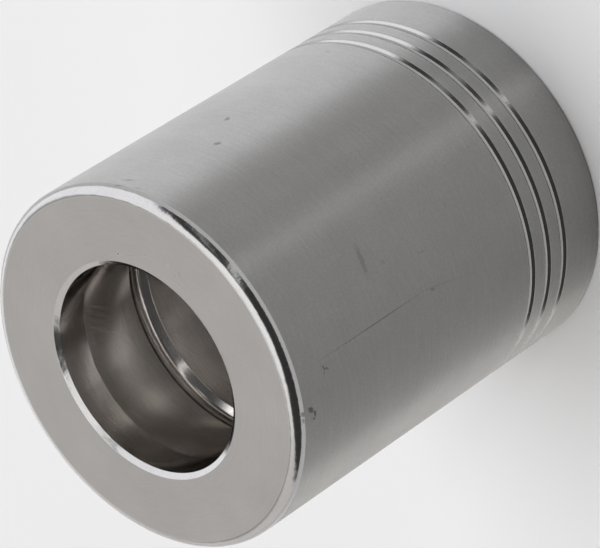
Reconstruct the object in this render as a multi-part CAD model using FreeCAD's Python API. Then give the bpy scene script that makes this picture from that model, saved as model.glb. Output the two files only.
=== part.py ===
import FreeCAD, Part
import math
import os

# Crimp hose ferrule: one sleeve turned from bar, open at both ends.
# Millimetres. It stands on its mouth in Z = 0, with the collar face at the top and Z as its axis.
# Radii stack outwards from the hose bore, and depths are counted down from the collar face.

# The whole sleeve
overall_length = 36.8
wall_over_grip_groove = 4.05
collar_corner_radius = 0.9
mouth_corner_chamfer = 0.12

# Collar lip, which crimps into the groove of the hose tail
lip_height = 1.65
lip_length = 3.15
lip_front_chamfer = 0.42
lip_front_chamfer_angle = 35.0
lip_back_chamfer = 0.2

# Bore for the hose, with a plain chamber behind the lip that clears the shoulder of the hose tail
hose_bore_diameter = 20.5
chamber_length = 6.85

# Grip grooves in the bore, which the cover of the hose flows into when the sleeve is crimped.
# Each has a flat floor and two sloping flanks, as a form tool leaves them.
grip_groove_pitch = 5.6
grip_groove_width = 2.0
grip_groove_depth = 0.7
grip_groove_flank_angle = 48.0

# Mouth, where the hose goes in
plain_mouth_shortest = 5.5
mouth_chamfer_width = 1.1
mouth_chamfer_angle = 35.0

# Rings cut round the outside near the mouth
ring_count = 3
ring_pitch = 2.0
ring_width = 0.8
ring_floor_width = 0.26
ring_depth = 0.2
first_ring_from_mouth = 4.6

hose_bore_radius = hose_bore_diameter / 2
outer_radius = hose_bore_radius + grip_groove_depth + wall_over_grip_groove
collar_bore_radius = hose_bore_radius - lip_height
mouth_chamfer_length = mouth_chamfer_width / math.tan(math.radians(mouth_chamfer_angle))
lip_front_chamfer_depth = lip_front_chamfer * math.tan(math.radians(lip_front_chamfer_angle))

lip_back_height = overall_length - lip_length
first_grip_groove_top = lip_back_height - chamber_length
grip_room = first_grip_groove_top - mouth_chamfer_length - plain_mouth_shortest
grip_groove_count = 1 + int((grip_room - grip_groove_width) // grip_groove_pitch)


def at(radius, height):
    """A point of the half section, in the XZ plane."""
    return FreeCAD.Vector(radius, 0, height)


def joined(points):
    """Straight edges from point to point."""
    return [Part.LineSegment(a, b).toShape() for a, b in zip(points, points[1:])]


def ring_points(height):
    """One ring groove with sloping sides and a narrow floor, going up the outside."""
    floor_radius = outer_radius - ring_depth
    return [at(outer_radius, height - ring_width / 2), at(floor_radius, height - ring_floor_width / 2),
            at(floor_radius, height + ring_floor_width / 2), at(outer_radius, height + ring_width / 2)]


def outside_edges():
    """The outer wall from the mouth up to the collar corner, with its ring grooves."""
    points = [at(outer_radius - mouth_corner_chamfer, 0), at(outer_radius, mouth_corner_chamfer)]
    for number in range(ring_count):
        points += ring_points(first_ring_from_mouth + number * ring_pitch)
    points.append(at(outer_radius, overall_length - collar_corner_radius))
    return joined(points)


def collar_edges():
    """The rounded collar corner, the flat collar face and the lip down to its back face."""
    lean = collar_corner_radius * (1 - math.sin(math.radians(45)))
    corner = Part.Arc(at(outer_radius, overall_length - collar_corner_radius),
                      at(outer_radius - lean, overall_length - lean),
                      at(outer_radius - collar_corner_radius, overall_length))
    face_and_lip = joined([at(outer_radius - collar_corner_radius, overall_length),
                           at(collar_bore_radius + lip_front_chamfer, overall_length),
                           at(collar_bore_radius, overall_length - lip_front_chamfer_depth),
                           at(collar_bore_radius, lip_back_height + lip_back_chamfer),
                           at(collar_bore_radius + lip_back_chamfer, lip_back_height),
                           at(hose_bore_radius, lip_back_height)])
    return [corner.toShape()] + face_and_lip


def grip_groove_points(top_height):
    """One grip groove, going down the bore: flank, floor, flank."""
    floor_radius = hose_bore_radius + grip_groove_depth
    flank_run = grip_groove_depth / math.tan(math.radians(grip_groove_flank_angle))
    bottom_height = top_height - grip_groove_width
    return [at(hose_bore_radius, top_height), at(floor_radius, top_height - flank_run),
            at(floor_radius, bottom_height + flank_run), at(hose_bore_radius, bottom_height)]


def hose_bore_edges():
    """The chamber, the grip grooves and the plain mouth bore, going down to the mouth chamfer."""
    points = [at(hose_bore_radius, lip_back_height)]
    for number in range(grip_groove_count):
        points += grip_groove_points(first_grip_groove_top - number * grip_groove_pitch)
    points.append(at(hose_bore_radius, mouth_chamfer_length))
    return joined(points)


def mouth_edges():
    """The chamfer that leads the hose in, and the flat rim that the sleeve stands on."""
    return joined([at(hose_bore_radius, mouth_chamfer_length),
                   at(hose_bore_radius + mouth_chamfer_width, 0),
                   at(outer_radius - mouth_corner_chamfer, 0)])


def ferrule_sleeve():
    section = Part.Wire(outside_edges() + collar_edges() + hose_bore_edges() + mouth_edges())
    return Part.Face(section).revolve(at(0, 0), FreeCAD.Vector(0, 0, 1), 360)


os.makedirs("parts", exist_ok=True)
ferrule_sleeve().exportStep("parts/ferrule_sleeve.step")
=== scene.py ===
import math

import bpy
from mathutils import Matrix, Vector


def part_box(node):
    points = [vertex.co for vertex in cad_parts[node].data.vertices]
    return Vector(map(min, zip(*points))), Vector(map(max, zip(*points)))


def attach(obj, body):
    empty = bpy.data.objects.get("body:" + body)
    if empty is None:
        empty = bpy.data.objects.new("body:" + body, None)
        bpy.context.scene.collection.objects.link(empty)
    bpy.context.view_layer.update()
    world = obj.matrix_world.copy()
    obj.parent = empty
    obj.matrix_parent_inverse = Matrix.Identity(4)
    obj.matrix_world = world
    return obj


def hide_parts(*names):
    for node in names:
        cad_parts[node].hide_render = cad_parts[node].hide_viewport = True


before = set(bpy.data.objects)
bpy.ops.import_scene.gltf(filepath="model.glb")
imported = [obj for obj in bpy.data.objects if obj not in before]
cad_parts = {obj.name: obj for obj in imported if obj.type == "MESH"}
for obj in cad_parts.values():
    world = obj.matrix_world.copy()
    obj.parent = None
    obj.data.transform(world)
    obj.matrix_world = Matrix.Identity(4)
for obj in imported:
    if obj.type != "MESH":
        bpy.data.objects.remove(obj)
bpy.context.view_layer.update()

# The sleeve's outside. It is turned from steel bar: a straight wall, a rounded corner up at the
# collar, and three shallow rings that a narrow tool has cut round the mouth end. Millimetres.
MM = 0.001
low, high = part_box("ferrule_sleeve")
outer_radius = high.x / MM
overall_length = high.z / MM
mouth_corner_chamfer = 0.12
collar_corner_radius = 0.9
ring_count = 3
ring_pitch = 2.0
ring_width = 0.8
ring_floor_width = 0.26
ring_depth = 0.2
first_ring_from_mouth = 4.6
burr_radius = 0.03
ring_edge_radius = 0.10
ring_floor_radius = 0.25

# Each corner of the half section is (radius, height, rounding), going up the outside.
outside = [(outer_radius - mouth_corner_chamfer, 0.0, burr_radius),
           (outer_radius, mouth_corner_chamfer, burr_radius)]
for number in range(ring_count):
    middle = first_ring_from_mouth + number * ring_pitch
    floor = outer_radius - ring_depth
    outside += [(outer_radius, middle - ring_width / 2, ring_edge_radius),
                (floor, middle - ring_floor_width / 2, ring_floor_radius),
                (floor, middle + ring_floor_width / 2, ring_floor_radius),
                (outer_radius, middle + ring_width / 2, ring_edge_radius)]
outside.append((outer_radius, overall_length, collar_corner_radius))

# The collar: a flat face, and a lip inside it that crimps into the groove of the hose tail.
# The lip's front edge is broken with a small chamfer, and its back is square to the bore.
collar_bore_radius = 8.6
lip_front_chamfer = 0.42
lip_front_chamfer_depth = 0.294
lip_length = 3.15
lip_back_chamfer = 0.2
hose_bore_radius = 10.25
chamber_corner_radius = 0.15
lip_back = overall_length - lip_length
collar = [(collar_bore_radius + lip_front_chamfer, overall_length, burr_radius),
          (collar_bore_radius, overall_length - lip_front_chamfer_depth, burr_radius),
          (collar_bore_radius, lip_back + lip_back_chamfer, burr_radius),
          (collar_bore_radius + lip_back_chamfer, lip_back, burr_radius),
          (hose_bore_radius, lip_back, chamber_corner_radius)]

# The bore behind the lip: a plain chamber, then grip grooves with sloping flanks that a form tool
# has cut, which the cover of the hose flows into when the sleeve is crimped. A plain stretch and
# a chamfer at the mouth lead the hose in.
chamber_length = 6.85
grip_groove_count = 4
grip_groove_pitch = 5.6
grip_groove_width = 2.0
grip_groove_depth = 0.7
grip_flank_run = grip_groove_depth / math.tan(math.radians(48))
grip_floor_radius = 0.75
grip_edge_radius = 0.12
mouth_chamfer_width = 1.1
mouth_chamfer_length = mouth_chamfer_width / math.tan(math.radians(35))
bore = []
for number in range(grip_groove_count):
    top = lip_back - chamber_length - number * grip_groove_pitch
    bottom = top - grip_groove_width
    bore += [(hose_bore_radius, top, grip_edge_radius),
             (hose_bore_radius + grip_groove_depth, top - grip_flank_run, grip_floor_radius),
             (hose_bore_radius + grip_groove_depth, bottom + grip_flank_run, grip_floor_radius),
             (hose_bore_radius, bottom, grip_edge_radius)]
bore += [(hose_bore_radius, mouth_chamfer_length, burr_radius),
         (hose_bore_radius + mouth_chamfer_width, 0.0, burr_radius)]


# The turned body: the half section is rounded at its corners and carried round the axis.
# Close rows beside each rounding keep the flat stretches flat, as a lathe leaves them.
def rounded_section(corners, step_degrees=9.0, guard=0.02):
    """Points of the closed half section, with an arc at each corner and a row just outside it."""
    points = []
    for index, (radius, height, rounding) in enumerate(corners):
        corner = Vector((radius, height))
        before = Vector(corners[index - 1][:2]) - corner
        after = Vector(corners[(index + 1) % len(corners)][:2]) - corner
        back, ahead = before.normalized(), after.normalized()
        half_angle = back.angle(ahead) / 2
        setback = rounding / math.tan(half_angle)
        centre = corner + (back + ahead).normalized() * (rounding / math.sin(half_angle))
        start = corner + back * setback
        turn = math.pi - 2 * half_angle
        side = 1 if back.x * ahead.y - back.y * ahead.x < 0 else -1
        steps = max(2, round(math.degrees(turn) / step_degrees))
        points.append(start + back * min(guard, (before.length - setback) / 3))
        for step in range(steps + 1):
            swing = Matrix.Rotation(side * turn * step / steps, 2)
            points.append(centre + swing @ (start - centre))
        points.append(corner + ahead * (setback + min(guard, (after.length - setback) / 3)))
    return points


def lathe(name, section, segments):
    """A closed mesh made by turning the section about Z."""
    rows = len(section)
    vertices = []
    for turn in range(segments):
        angle = 2 * math.pi * turn / segments
        vertices += [(p.x * MM * math.cos(angle), p.x * MM * math.sin(angle), p.y * MM) for p in section]
    faces = []
    for turn in range(segments):
        here, following = turn * rows, (turn + 1) % segments * rows
        for row in range(rows):
            above = (row + 1) % rows
            faces.append((here + row, following + row, following + above, here + above))
    mesh = bpy.data.meshes.new(name)
    mesh.from_pydata(vertices, [], faces)
    mesh.validate()
    mesh.shade_smooth()
    piece = bpy.data.objects.new(name, mesh)
    bpy.context.scene.collection.objects.link(piece)
    return piece


sleeve = lathe("turned_sleeve", rounded_section(outside + collar + bore), segments=320)
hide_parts("ferrule_sleeve")
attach(sleeve, "root")


# The plating: thin bright zinc over turned steel. Every finish below takes its lines, its soft mottling and
# its handling marks from the groups made here, with values of its own. Their base colours differ though it
# is one plating: the wall and the corner are painted darker, as painted shade, and the bore is painted
# lighter, as painted light.
def math_node(nodes, links, operation, *values):
    """A Math node with each value or output as its inputs."""
    node = nodes.new("ShaderNodeMath")
    node.operation = operation
    for socket, value in zip(node.inputs, values):
        if isinstance(value, (int, float)):
            socket.default_value = value
        else:
            links.new(value, socket)
    return node.outputs[0]


def smooth_step(nodes, links, value, start, end):
    """0 before start and 1 past end, with a soft slope between them."""
    step = nodes.new("ShaderNodeMapRange")
    step.interpolation_type = "SMOOTHSTEP"
    links.new(value, step.inputs["Value"])
    step.inputs["From Min"].default_value = start
    step.inputs["From Max"].default_value = end
    return step.outputs["Result"]


def new_group(name, inputs, outputs):
    """An empty node group with float sockets, unless a name is paired with another kind."""
    group = bpy.data.node_groups.new(name, "ShaderNodeTree")
    for in_out, sockets in (("INPUT", inputs), ("OUTPUT", outputs)):
        for socket in sockets:
            label, kind = socket if isinstance(socket, tuple) else (socket, "Float")
            group.interface.new_socket(label, in_out=in_out, socket_type="NodeSocket" + kind)
    given = group.nodes.new("NodeGroupInput").outputs
    result = group.nodes.new("NodeGroupOutput").inputs
    return group, given, result


def turned_position_group():
    """Where a point is on a turned piece: degrees round from the front, and millimetres."""
    group, given, result = new_group("turned_position", [],
                                     ["Round", "Radius", "Height", ("Place", "Vector")])
    nodes, links = group.nodes, group.links
    place = nodes.new("ShaderNodeVectorMath")
    place.operation = "SCALE"
    place.inputs["Scale"].default_value = 1 / MM
    links.new(nodes.new("ShaderNodeTexCoord").outputs["Object"], place.inputs[0])
    split = nodes.new("ShaderNodeSeparateXYZ")
    links.new(place.outputs[0], split.inputs[0])
    x, y, z = split.outputs
    front = math_node(nodes, links, "MULTIPLY", y, -1.0)
    turned = math_node(nodes, links, "ARCTAN2", x, front)
    squares = math_node(nodes, links, "MULTIPLY_ADD", x, x, math_node(nodes, links, "MULTIPLY", y, y))
    links.new(math_node(nodes, links, "DEGREES", turned), result["Round"])
    links.new(math_node(nodes, links, "SQRT", squares), result["Radius"])
    links.new(z, result["Height"])
    links.new(place.outputs[0], result["Place"])
    return group


def lathe_lines_group():
    """Fine lines that a turning tool leaves, even round the piece and uneven across it."""
    group, given, result = new_group("lathe_lines", ["Round", "Radius", "Height", "Lines Per Mm", "Wander"],
                                     ["Lines"])
    nodes, links = group.nodes, group.links
    across = math_node(nodes, links, "MULTIPLY_ADD", given["Radius"], -1.37, given["Height"])
    turned = math_node(nodes, links, "RADIANS", given["Round"])
    place = nodes.new("ShaderNodeCombineXYZ")
    links.new(math_node(nodes, links, "MULTIPLY", across, given["Lines Per Mm"]), place.inputs[0])
    for axis, wave in ((1, "COSINE"), (2, "SINE")):
        swing = math_node(nodes, links, wave, turned)
        links.new(math_node(nodes, links, "MULTIPLY", swing, given["Wander"]), place.inputs[axis])
    noise = nodes.new("ShaderNodeTexNoise")
    noise.inputs["Scale"].default_value = 1.0
    noise.inputs["Detail"].default_value = 3.0
    noise.inputs["Roughness"].default_value = 0.65
    links.new(place.outputs[0], noise.inputs["Vector"])
    links.new(noise.outputs["Fac"], result["Lines"])
    return group


def mottling_group():
    """Soft patches of unequal brightness in the plating, and fine grains in it."""
    group, given, result = new_group("mottling", [("Place", "Vector"), "Patch Size", "Grain Size"],
                                     ["Patches", "Grains"])
    nodes, links = group.nodes, group.links
    for size, detail, output in (("Patch Size", 4.0, "Patches"), ("Grain Size", 1.0, "Grains")):
        noise = nodes.new("ShaderNodeTexNoise")
        noise.inputs["Detail"].default_value = detail
        links.new(given["Place"], noise.inputs["Vector"])
        links.new(math_node(nodes, links, "DIVIDE", 1.0, given[size]), noise.inputs["Scale"])
        links.new(noise.outputs["Fac"], result[output])
    return group


def handling_mark_group():
    """One nick or scratch: a long spot with ragged edges, added to the marks before it."""
    place = ["Round", "Across", "Radius", ("Place", "Vector")]
    size = ["Mark Round", "Mark Across", "Half Length", "Half Width", "Slant", "Depth"]
    group, given, result = new_group("handling_mark", ["Marks"] + place + size, ["Marks"])
    nodes, links = group.nodes, group.links
    swing = math_node(nodes, links, "SUBTRACT", given["Round"], given["Mark Round"])
    swing = math_node(nodes, links, "RADIANS", math_node(nodes, links, "WRAP", swing, 180.0, -180.0))
    along = math_node(nodes, links, "MULTIPLY", swing, given["Radius"])
    across = math_node(nodes, links, "SUBTRACT", given["Across"], given["Mark Across"])
    slant = math_node(nodes, links, "RADIANS", given["Slant"])
    cosine, sine = math_node(nodes, links, "COSINE", slant), math_node(nodes, links, "SINE", slant)
    lengthways = math_node(nodes, links, "MULTIPLY_ADD", along, cosine,
                           math_node(nodes, links, "MULTIPLY", across, sine))
    sideways = math_node(nodes, links, "SUBTRACT", math_node(nodes, links, "MULTIPLY", across, cosine),
                         math_node(nodes, links, "MULTIPLY", along, sine))
    lengthways = math_node(nodes, links, "DIVIDE", lengthways, given["Half Length"])
    sideways = math_node(nodes, links, "DIVIDE", sideways, given["Half Width"])
    ragged = nodes.new("ShaderNodeTexNoise")
    ragged.inputs["Scale"].default_value = 4.0
    links.new(given["Place"], ragged.inputs["Vector"])
    reach = math_node(nodes, links, "MULTIPLY_ADD", lengthways, lengthways,
                      math_node(nodes, links, "MULTIPLY", sideways, sideways))
    reach = math_node(nodes, links, "MULTIPLY", math_node(nodes, links, "SQRT", reach),
                      math_node(nodes, links, "MULTIPLY_ADD", ragged.outputs["Fac"], 1.2, 0.4))
    mark = math_node(nodes, links, "MULTIPLY", smooth_step(nodes, links, reach, 1.3, 0.5), given["Depth"])
    links.new(math_node(nodes, links, "MAXIMUM", mark, given["Marks"]), result["Marks"])
    return group


position_group = turned_position_group()
lines_group = lathe_lines_group()
patches_group = mottling_group()
mark_group = handling_mark_group()


def placed(nodes, links, group, **values):
    """A group in a material, with each value or output at the input of that name."""
    node = nodes.new("ShaderNodeGroup")
    node.node_tree = group
    for name, value in values.items():
        socket = node.inputs[name.replace("_", " ").title()]
        if isinstance(value, (int, float)):
            socket.default_value = value
        else:
            links.new(value, socket)
    return node.outputs


def add_relief(material, height, relief):
    """Raise the surface of a material with a height. The relief is in millimetres."""
    nodes, links = material.node_tree.nodes, material.node_tree.links
    normal = nodes["Principled BSDF"].inputs["Normal"]
    bump = nodes.new("ShaderNodeBump")
    bump.inputs["Strength"].default_value = 1.0
    bump.inputs["Distance"].default_value = relief * MM
    links.new(height, bump.inputs["Height"])
    if normal.is_linked:
        links.new(normal.links[0].from_socket, bump.inputs["Normal"])
    links.new(bump.outputs["Normal"], normal)


def plated_finish(name, base_color, roughness, line_shade, line_relief, wave_relief, patch_shade,
                  grain_shade, grain_relief, marks, across):
    """Plated metal with lathe lines, patches, grains and handling marks. Reliefs in millimetres."""
    material = bpy.data.materials.new(name)
    material.use_nodes = True
    nodes, links = material.node_tree.nodes, material.node_tree.links
    shader = nodes["Principled BSDF"]
    shader.inputs["Metallic"].default_value = 1.0
    at = placed(nodes, links, position_group)
    lines = placed(nodes, links, lines_group, round=at["Round"], radius=at["Radius"], height=at["Height"],
                   lines_per_mm=7.0, wander=6.0)["Lines"]
    mottle = placed(nodes, links, patches_group, place=at["Place"], patch_size=5.0, grain_size=0.16)
    seen_marks = 0.0
    for mark_round, mark_across, half_length, half_width, slant, depth in marks:
        mark = placed(nodes, links, mark_group, marks=seen_marks, round=at["Round"], across=at[across],
                      radius=at["Radius"], place=at["Place"], mark_round=mark_round, slant=slant,
                      mark_across=mark_across, half_length=half_length, half_width=half_width, depth=depth)
        seen_marks = mark["Marks"]

    shade = math_node(nodes, links, "MULTIPLY_ADD", lines, 2 * line_shade, 1 - line_shade)
    for texture, strength in ((mottle["Patches"], patch_shade), (mottle["Grains"], grain_shade)):
        uneven = math_node(nodes, links, "MULTIPLY_ADD", texture, 2 * strength, 1 - strength)
        shade = math_node(nodes, links, "MULTIPLY", shade, uneven)
    clean = math_node(nodes, links, "SUBTRACT", 1.0, seen_marks)
    shade = math_node(nodes, links, "MULTIPLY", shade, clean)
    tint = nodes.new("ShaderNodeVectorMath")
    tint.operation = "SCALE"
    tint.inputs[0].default_value = base_color
    links.new(shade, tint.inputs["Scale"])
    links.new(tint.outputs[0], shader.inputs["Base Color"])

    dull = math_node(nodes, links, "MULTIPLY_ADD", mottle["Patches"], 0.06, roughness - 0.03)
    dull = math_node(nodes, links, "MULTIPLY_ADD", seen_marks, 0.3, dull)
    links.new(dull, shader.inputs["Roughness"])

    mark_relief = 0.02
    for height, relief in ((lines, line_relief), (mottle["Patches"], wave_relief),
                           (mottle["Grains"], grain_relief), (clean, mark_relief)):
        add_relief(material, height, relief)
    return material


# The outer wall: turned along its whole length, and handled since. A long fine scratch runs along
# it, with nicks near the collar and a faint stain.
# Each mark is (degrees round, height, half length, half width, slant, depth).
wall_marks = [(-25.0, 27.0, 6.3, 0.05, 90, 0.23), (-26.4, 18.9, 2.4, 0.05, 79, 0.11),
              (-7.1, 25.7, 1.2, 0.26, -9, 0.14), (-27.6, 33.05, 0.22, 0.09, 20, 0.41),
              (-28.3, 32.75, 0.20, 0.08, 60, 0.36), (-29.0, 33.1, 0.14, 0.07, 0, 0.28),
              (-36.8, 35.15, 0.36, 0.20, 50, 0.47), (-38.6, 34.75, 0.26, 0.13, 10, 0.41),
              (-40.2, 34.9, 0.16, 0.10, 90, 0.33), (55.4, 35.0, 0.42, 0.11, 20, 0.30),
              (49.5, 35.7, 0.34, 0.08, 15, 0.19), (-26.1, 20.1, 0.26, 0.10, 70, 0.25),
              (-11.0, 23.9, 0.30, 0.16, 30, 0.11), (-14.6, 20.0, 0.40, 0.09, 80, 0.12),
              (-7.0, 15.7, 0.26, 0.12, 0, 0.12), (48.2, 27.1, 0.34, 0.20, 75, 0.34),
              (56.2, 23.6, 0.34, 0.20, 115, 0.32), (59.8, 10.6, 0.26, 0.16, 0, 0.14)]
# The wall's base colour is darker than the collar face's, though it is the same plating: painted shade.
plated_wall_painted_darker = plated_finish("plated_wall_painted_darker", (0.48, 0.475, 0.465), 0.48, line_shade=0.12, line_relief=0.003,
                            wave_relief=0.02, patch_shade=0.12, grain_shade=0.12, grain_relief=0.003,
                            marks=wall_marks, across="Height")
sleeve.data.materials.append(plated_wall_painted_darker)

# The tool's lines run round the wall, so they stretch what it mirrors lengthwise.
nodes, links = plated_wall_painted_darker.node_tree.nodes, plated_wall_painted_darker.node_tree.links
wall_shader = nodes["Principled BSDF"]
wall_shader.inputs["Anisotropic"].default_value = 1.0
wall_shader.inputs["Anisotropic Rotation"].default_value = 0.25
round_the_axis = nodes.new("ShaderNodeTangent")
round_the_axis.direction_type = "RADIAL"
round_the_axis.axis = "Z"
links.new(round_the_axis.outputs["Tangent"], wall_shader.inputs["Tangent"])

# A lengthwise strip of the wall was not polished as finely, so its lathe lines and grains show.
nodes, links = plated_wall_painted_darker.node_tree.nodes, plated_wall_painted_darker.node_tree.links
at = placed(nodes, links, position_group)
strip = math_node(nodes, links, "MULTIPLY", smooth_step(nodes, links, at["Round"], 3, 10),
                  smooth_step(nodes, links, at["Round"], 28, 22))
lines = placed(nodes, links, lines_group, round=at["Round"], radius=at["Radius"], height=at["Height"],
               lines_per_mm=5.0, wander=14.0)["Lines"]
add_relief(plated_wall_painted_darker, math_node(nodes, links, "MULTIPLY", lines, strip), 0.014)

# The rounded corner and the rings were cut with form tools, so they are smooth and mirror sharply.
# The corner has been knocked against other parts, which leaves it slightly uneven.
corner_marks = [(-36.8, 35.95, 0.36, 0.20, 50, 0.47), (-38.6, 36.05, 0.26, 0.13, 10, 0.41),
                (55.4, 36.0, 0.42, 0.11, 20, 0.30)]
# The corner's base colour is darker still than the wall's, though it is the same plating: painted shade.
plated_corner_painted_darker = plated_finish("plated_corner_painted_darker", (0.44, 0.435, 0.43), 0.15, line_shade=0.06, line_relief=0.002,
                              wave_relief=0.01, patch_shade=0.10, grain_shade=0.08, grain_relief=0.002,
                              marks=corner_marks, across="Height")
sleeve.data.materials.append(plated_corner_painted_darker)
nodes, links = plated_corner_painted_darker.node_tree.nodes, plated_corner_painted_darker.node_tree.links
at = placed(nodes, links, position_group)
dents = placed(nodes, links, patches_group, place=at["Place"], patch_size=1.4, grain_size=0.3)["Patches"]
corner = smooth_step(nodes, links, at["Height"], overall_length - 0.9, overall_length - 0.6)
add_relief(plated_corner_painted_darker, math_node(nodes, links, "MULTIPLY", dents, corner), 0.04)

# The collar face was faced off last, with a fine feed, so it is smooth and even. It has a dot, a
# thin scratch and two hooked marks. Here each mark is (degrees round, radius, and so on).
face_marks = [(58.4, 9.66, 0.10, 0.08, 0, 0.75), (44.9, 10.2, 1.4, 0.04, -20, 0.30),
              (30.8, 10.65, 0.34, 0.05, 69, 0.32), (24.6, 10.75, 0.22, 0.06, 40, 0.22),
              (26.5, 10.3, 0.12, 0.06, 0, 0.20)]
plated_face = plated_finish("plated_face", (0.63, 0.62, 0.61), 0.2, line_shade=0.05, line_relief=0.0006,
                            wave_relief=0.004, patch_shade=0.06, grain_shade=0.05, grain_relief=0.001,
                            marks=face_marks, across="Radius")
sleeve.data.materials.append(plated_face)

# The bore: its base colour is warmer than the wall's and much lighter, a lighter copy of the same plating,
# painted light, and the tool has left coarser lines. Short chatter marks cross the chamber behind the lip.
chatter_count, chatter_start, chatter_step = 7, 144.5, 1.8
chatter_marks = [(chatter_start + chatter_step * number, 30.5 + 0.3 * (number % 2), 1.3, 0.07, -61, 0.16)
                 for number in range(chatter_count)]
plated_bore_painted_lighter = plated_finish("plated_bore_painted_lighter", (0.72, 0.69, 0.66), 0.15, line_shade=0.20, line_relief=0.003,
                            wave_relief=0.02, patch_shade=0.30, grain_shade=0.10, grain_relief=0.002,
                            marks=chatter_marks, across="Height")
plated_bore_painted_lighter.node_tree.nodes["Principled BSDF"].inputs["Specular Tint"].default_value = (0.3, 0.3, 0.3, 1.0)
sleeve.data.materials.append(plated_bore_painted_lighter)

# Which finish each polygon takes, by its place on the sleeve. The wall's finish is the first.
corner_finish, face_finish, bore_finish = 1, 2, 3
widest_bore = hose_bore_radius + mouth_chamfer_width
face_inner_radius = collar_bore_radius + lip_front_chamfer
sliver = 0.01
below_wall = 0.002
for polygon in sleeve.data.polygons:
    radius = math.hypot(polygon.center.x, polygon.center.y) / MM
    height = polygon.center.z / MM
    in_ring = height > mouth_corner_chamfer + sliver and radius < outer_radius - below_wall
    if height > overall_length - sliver and radius > face_inner_radius:
        polygon.material_index = face_finish
    elif radius < widest_bore and sliver < height < overall_length - lip_front_chamfer_depth:
        polygon.material_index = bore_finish
    elif height > overall_length - collar_corner_radius or in_ring:
        polygon.material_index = corner_finish

# The floor: a plain pale sheet. It takes the sleeve's shadow, and the metal mirrors it. The
# background is pale from this colour alone.
floor_size = 4.0
floor_mesh = bpy.data.meshes.new("floor")
half = floor_size / 2
floor_corners = [(-half, -half, 0), (half, -half, 0), (half, half, 0), (-half, half, 0)]
floor_mesh.from_pydata(floor_corners, [], [(0, 1, 2, 3)])
floor = bpy.data.objects.new("floor", floor_mesh)
bpy.context.scene.collection.objects.link(floor)
pale_sheet = bpy.data.materials.new("pale_sheet")
pale_sheet.use_nodes = True
nodes, links = pale_sheet.node_tree.nodes, pale_sheet.node_tree.links
sheet = nodes["Principled BSDF"]
sheet.inputs["Base Color"].default_value = (0.97, 0.97, 0.97, 1.0)
sheet.inputs["Roughness"].default_value = 0.9
sheet.inputs["Specular IOR Level"].default_value = 0.0
floor_mesh.materials.append(pale_sheet)

# The studio light: a white tent that lights the floor and the sleeve alike, darker where the
# camera stands. Directions are degrees round from the camera's side and degrees up.
world = bpy.data.worlds.new("light_tent")
bpy.context.scene.world = world
world.use_nodes = True
nodes, links = world.node_tree.nodes, world.node_tree.links


def tent_panel_group():
    """A soft-edged panel of one shade, laid over the tent behind it."""
    group = bpy.data.node_groups.new("tent_panel", "ShaderNodeTree")
    inputs = ("Round", "Up", "Centre Round", "Half Width", "Centre Up", "Half Height", "Softness")
    group.interface.new_socket("Behind", in_out="INPUT", socket_type="NodeSocketColor")
    for name in inputs:
        group.interface.new_socket(name, in_out="INPUT", socket_type="NodeSocketFloat")
    group.interface.new_socket("Shade", in_out="INPUT", socket_type="NodeSocketColor")
    group.interface.new_socket("Color", in_out="OUTPUT", socket_type="NodeSocketColor")
    nodes, links = group.nodes, group.links
    given = nodes.new("NodeGroupInput").outputs
    result = nodes.new("NodeGroupOutput").inputs

    def cover(direction, centre, half_size):
        offset = math_node(nodes, links, "SUBTRACT", direction, centre)
        offset = math_node(nodes, links, "WRAP", offset, 180.0, -180.0)
        offset = math_node(nodes, links, "ABSOLUTE", offset)
        past = math_node(nodes, links, "SUBTRACT", offset, half_size)
        past = math_node(nodes, links, "DIVIDE", past, given["Softness"])
        edge = nodes.new("ShaderNodeMapRange")
        edge.interpolation_type = "SMOOTHSTEP"
        links.new(past, edge.inputs["Value"])
        edge.inputs["From Min"].default_value = 0.5
        edge.inputs["From Max"].default_value = -0.5
        return edge.outputs["Result"]

    across = cover(given["Round"], given["Centre Round"], given["Half Width"])
    upward = cover(given["Up"], given["Centre Up"], given["Half Height"])
    mask = math_node(nodes, links, "MULTIPLY", across, upward)
    mix = nodes.new("ShaderNodeMix")
    mix.data_type = "RGBA"
    links.new(mask, mix.inputs["Factor"])
    links.new(given["Behind"], mix.inputs["A"])
    links.new(given["Shade"], mix.inputs["B"])
    links.new(mix.outputs["Result"], result["Color"])
    return group


direction = nodes.new("ShaderNodeTexCoord").outputs["Generated"]
split = nodes.new("ShaderNodeSeparateXYZ")
links.new(direction, split.inputs[0])
toward_camera = math_node(nodes, links, "MULTIPLY", split.outputs["Y"], -1.0)
turned = math_node(nodes, links, "ARCTAN2", split.outputs["X"], toward_camera)
round_degrees = math_node(nodes, links, "DEGREES", turned)
raised = math_node(nodes, links, "ARCSINE", split.outputs["Z"])
up_degrees = math_node(nodes, links, "DEGREES", raised)

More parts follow.
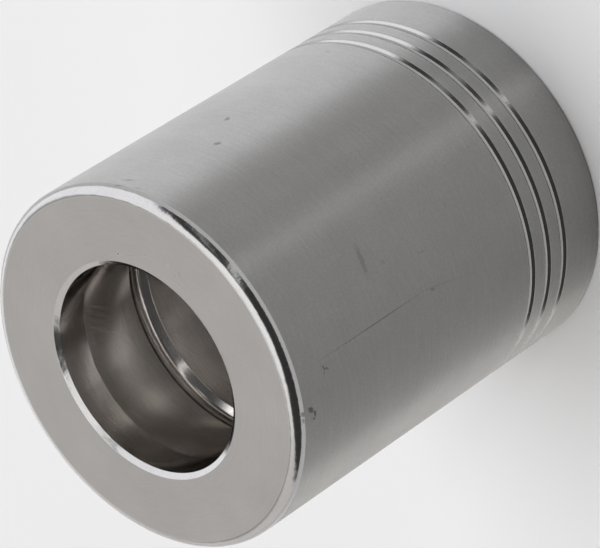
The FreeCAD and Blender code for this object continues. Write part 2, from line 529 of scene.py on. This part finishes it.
# Panels as (name, round, half width, up, half height, softness, brightness, tint).
neutral, warm, cool = (1.0, 1.0, 1.0), (1.02, 0.99, 0.96), (0.99, 1.0, 1.03)
tent_white = (1.6, 1.6, 1.66, 1.0)
panels = [("overhead light", 180, 200, 90, 34, 12, 1.65, neutral),
          ("left side", -135, 42, 20, 40, 30, 1.00, warm),
          ("behind", 180, 30, 40, 17, 14, 0.55, warm),
          ("camera side", -16, 87, 24, 40, 10, 0.06, neutral),
          ("strip light", 43, 5, 10, 38, 6, 0.40, cool),
          ("narrow strip light", 18, 3, 15, 45, 4, 1.20, neutral)]
panel_group = tent_panel_group()
seen = None
for name, around, half_width, up, half_height, softness, shade, tint in panels:
    panel = nodes.new("ShaderNodeGroup")
    panel.node_tree = panel_group
    panel.label = name
    if seen is None:
        panel.inputs["Behind"].default_value = tent_white
    else:
        links.new(seen, panel.inputs["Behind"])
    links.new(round_degrees, panel.inputs["Round"])
    links.new(up_degrees, panel.inputs["Up"])
    panel.inputs["Centre Round"].default_value = around
    panel.inputs["Half Width"].default_value = half_width
    panel.inputs["Centre Up"].default_value = up
    panel.inputs["Half Height"].default_value = half_height
    panel.inputs["Softness"].default_value = softness
    panel.inputs["Shade"].default_value = (*[shade * part for part in tint], 1.0)
    seen = panel.outputs["Color"]

links.new(seen, nodes["Background"].inputs["Color"])

# The camera: a long lens looking down over the collar, rolled so that the sleeve lies over to the
# upper right as it does in the photo. Distances are in outer radii of the sleeve.
lens_mm = 265.8
sensor_mm = 36.0
looking_down = math.radians(40.55)
roll = math.radians(122.84)
collar_face_right, collar_face_up, collar_face_away = -0.77995, -0.48190, 22.00014
camera_data = bpy.data.cameras.new("camera")
camera_data.lens = lens_mm
camera_data.sensor_width = sensor_mm
camera = bpy.data.objects.new("camera", camera_data)
bpy.context.scene.collection.objects.link(camera)
turn = Matrix.Rotation(math.pi / 2 - looking_down, 3, "X") @ Matrix.Rotation(-roll, 3, "Z")
offset = turn @ Vector((collar_face_right, collar_face_up, -collar_face_away)) * outer_radius * MM
collar_face = Vector((0, 0, overall_length * MM))
camera.matrix_world = Matrix.Translation(collar_face - offset) @ turn.to_4x4()
bpy.context.scene.camera = camera

bpy.context.scene.view_settings.view_transform = "Standard"
